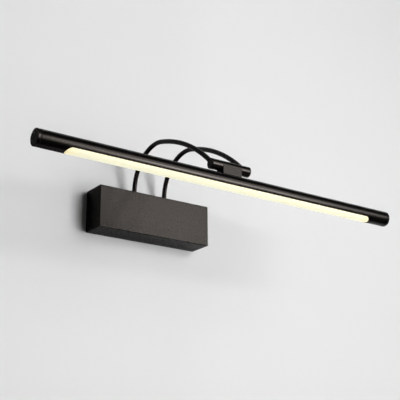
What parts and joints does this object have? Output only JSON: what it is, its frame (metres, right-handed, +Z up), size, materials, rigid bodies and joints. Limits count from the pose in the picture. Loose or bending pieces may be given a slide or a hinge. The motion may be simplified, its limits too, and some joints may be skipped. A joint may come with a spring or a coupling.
{
  "type": "picture light",
  "caption": "Wall-mounted picture light: rectangular wall box, two arched tube arms and a slim round light bar with an opal window that tilts on a cross hinge.",
  "frame": {"origin": "centre of the wall bracket's back face, on the wall", "axes": "+X along the bar, +Y into the wall, +Z up; the bar is on the -Y side"},
  "size_m": [0.5, 0.2069, 0.1144],
  "materials": {
    "black_coated_steel": "satin black coating",
    "black_anodised": "satin black anodised",
    "black_anodised_caps": "satin black anodised",
    "black_screws": "black oxide",
    "black_plastic": "matte",
    "black_rubber": "matte",
    "opal_diffuser": "opal, satin",
    "zinc_steel": "zinc plated",
    "plain_steel": "turned",
    "raw_aluminium": "extruded",
    "white_plastic": "matte",
    "green_board": "solder mask",
    "white_board": "white solder mask",
    "led_phosphor": "phosphor gel",
    "yellow_tape": "wound and taped",
    "capacitor_sleeve": "sleeve",
    "brass": "turned",
    "tinned_copper": "tinned",
    "brown_insulation": "PVC",
    "blue_insulation": "PVC",
    "green_insulation": "PVC, green and yellow",
    "black_insulation": "silicone",
    "red_insulation": "silicone"
  },
  "bodies": {
    "wall_mount": {"wall_bracket": "zinc_steel", "cable_grommet": "black_rubber", "cover_shell": "black_coated_steel", "cover_screws": "black_screws", "arm_left": "black_coated_steel", "arm_right": "black_coated_steel", "arm_ferrules": "black_coated_steel", "arm_support_plate": "zinc_steel", "arm_lock_washers": "zinc_steel", "arm_nuts": "zinc_steel", "driver_case": "white_plastic", "driver_lid": "white_plastic", "driver_screws": "zinc_steel", "driver_board": "green_board", "driver_transformer": "yellow_tape", "driver_capacitors": "capacitor_sleeve", "terminal_block": "white_plastic", "terminal_inserts": "brass", "terminal_screws": "zinc_steel", "live_lead": "brown_insulation", "neutral_lead": "blue_insulation", "earth_lead": "green_insulation", "earth_ring_terminal": "tinned_copper", "earth_screw": "brass", "hinge_barrel_left": "black_anodised", "hinge_barrel_right": "black_anodised", "barrel_plugs": "black_plastic", "arm_lead_left": "black_insulation", "arm_lead_right": "red_insulation"},
    "light_head": {"hinge_block": "black_anodised", "hinge_pin": "plain_steel", "pin_grub_screw": "black_screws", "spring_washers": "plain_steel", "hinge_nuts": "plain_steel", "friction_washers": "black_plastic", "saddle_screws": "black_screws", "lead_grommet": "black_rubber", "bar_tube": "black_anodised", "end_cap_left": "black_anodised_caps", "end_cap_right": "black_anodised_caps", "diffuser": "opal_diffuser", "led_carrier": "raw_aluminium", "led_board": "white_board", "led_chips": "led_phosphor", "board_screws": "plain_steel", "head_lead_left": "black_insulation", "head_lead_right": "red_insulation"}
  },
  "joints": [
    {"name": "head_tilt", "type": "hinge", "parent": "wall_mount", "child": "light_head", "pos_m": [0, -0.193, 0.0175], "axis": [1, 0, 0], "range_deg": [-78.5, 101.5]}
  ]
}
